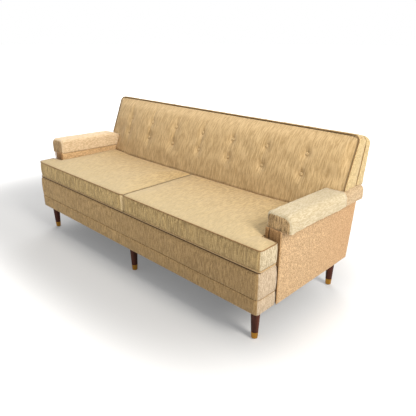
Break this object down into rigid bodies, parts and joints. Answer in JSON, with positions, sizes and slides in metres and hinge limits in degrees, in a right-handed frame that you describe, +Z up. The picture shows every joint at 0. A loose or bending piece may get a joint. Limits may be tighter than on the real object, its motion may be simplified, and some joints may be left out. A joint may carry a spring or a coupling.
{
  "type": "sofa with wooden legs",
  "caption": "Upholstered sofa with two loose T-shaped seat cushions, a button-tufted raked back, padded low arms with loose arm caps, and tapered wooden legs with brass ferrules.",
  "frame": {"origin": "on the floor, under the middle of the bounding box", "axes": "+X to the right of someone facing the front, along the length; -Y out of the front; +Z up"},
  "size_m": [1.952, 0.832, 0.823],
  "materials": {
    "frame_wood": "sawn hardwood and plywood, unfinished",
    "spring_steel": "oiled spring wire",
    "burlap": "coarse jute weave",
    "deck_cloth": "plain cotton deck cloth",
    "dust_cambric": "black cambric",
    "upholstery": "gold slub weave with a vertical streak",
    "side_upholstery": "gold slub weave",
    "cushion_cloth": "gold slub weave",
    "cap_cloth": "less faded gold slub weave",
    "piping": "cord covered in the same weave, soiled",
    "covered_button": "cloth over a metal button form",
    "twine": "waxed tufting twine",
    "foam": "aged foam",
    "zip_tape": "woven zip tape",
    "zip_metal": "worn",
    "leg_wood": "dark walnut lacquer, satin",
    "brass": "satin brass",
    "glide": "nylon",
    "zinc_steel": "zinc plated"
  },
  "bodies": {
    "frame": {"front_rail": "frame_wood", "back_rail": "frame_wood", "side_rail_left": "frame_wood", "side_rail_right": "frame_wood", "center_rail": "frame_wood", "corner_blocks": "frame_wood", "arm_posts": "frame_wood", "arm_rail_left": "frame_wood", "arm_rail_right": "frame_wood", "back_posts": "frame_wood", "back_top_rail": "frame_wood", "back_lower_rail": "frame_wood", "seat_springs": "spring_steel", "back_springs": "spring_steel", "spring_clips": "spring_steel", "spring_burlap": "burlap", "seat_deck": "deck_cloth", "dust_cover": "dust_cambric", "base_cover": "upholstery", "base_band": "upholstery", "inside_arm_left": "side_upholstery", "inside_arm_right": "side_upholstery", "outside_arm_left": "side_upholstery", "outside_arm_right": "side_upholstery", "arm_facings": "upholstery", "arm_welts": "piping", "arm_pad_left": "side_upholstery", "arm_pad_right": "side_upholstery", "back_pad": "upholstery", "back_border": "upholstery", "back_welt": "piping", "outside_back": "side_upholstery", "back_buttons": "covered_button", "button_twine": "twine", "leg_front_left": "leg_wood", "leg_front_center": "leg_wood", "leg_front_right": "leg_wood", "leg_rear_left": "leg_wood", "leg_rear_center": "leg_wood", "leg_rear_right": "leg_wood", "leg_ferrules": "brass", "leg_glides": "glide", "leg_bolts": "zinc_steel", "leg_plates": "zinc_steel", "plate_screws": "zinc_steel"},
    "seat_cushion_left": {"cushion_core_left": "foam", "cushion_panels_left": "cushion_cloth", "cushion_boxing_left": "cushion_cloth", "cushion_welts_left": "piping", "zip_tape_left": "zip_tape"},
    "seat_cushion_right": {"cushion_core_right": "foam", "cushion_panels_right": "cushion_cloth", "cushion_boxing_right": "cushion_cloth", "cushion_welts_right": "piping", "zip_tape_right": "zip_tape"},
    "zip_slider_left": {"zip_slider_left": "zip_metal"},
    "zip_slider_right": {"zip_slider_right": "zip_metal"},
    "arm_cap_left": {"arm_cap_left": "cap_cloth"},
    "arm_cap_right": {"arm_cap_right": "cap_cloth"}
  },
  "joints": [
    {"name": "seat_cushion_left_lift", "type": "slide", "parent": "frame", "child": "seat_cushion_left", "axis": [0, 0, 1], "range_m": [0, 0.4]},
    {"name": "seat_cushion_right_lift", "type": "slide", "parent": "frame", "child": "seat_cushion_right", "axis": [0, 0, 1], "range_m": [0, 0.4]},
    {"name": "arm_cap_left_lift", "type": "slide", "parent": "frame", "child": "arm_cap_left", "axis": [0, 0, 1], "range_m": [0, 0.25]},
    {"name": "arm_cap_right_lift", "type": "slide", "parent": "frame", "child": "arm_cap_right", "axis": [0, 0, 1], "range_m": [0, 0.25]},
    {"name": "zip_slider_left_slide", "type": "slide", "parent": "seat_cushion_left", "child": "zip_slider_left", "axis": [-1, 0.0069, 0], "range_m": [0, 0.37]},
    {"name": "zip_slider_right_slide", "type": "slide", "parent": "seat_cushion_right", "child": "zip_slider_right", "axis": [1, 0.0069, 0], "range_m": [0, 0.37]}
  ]
}
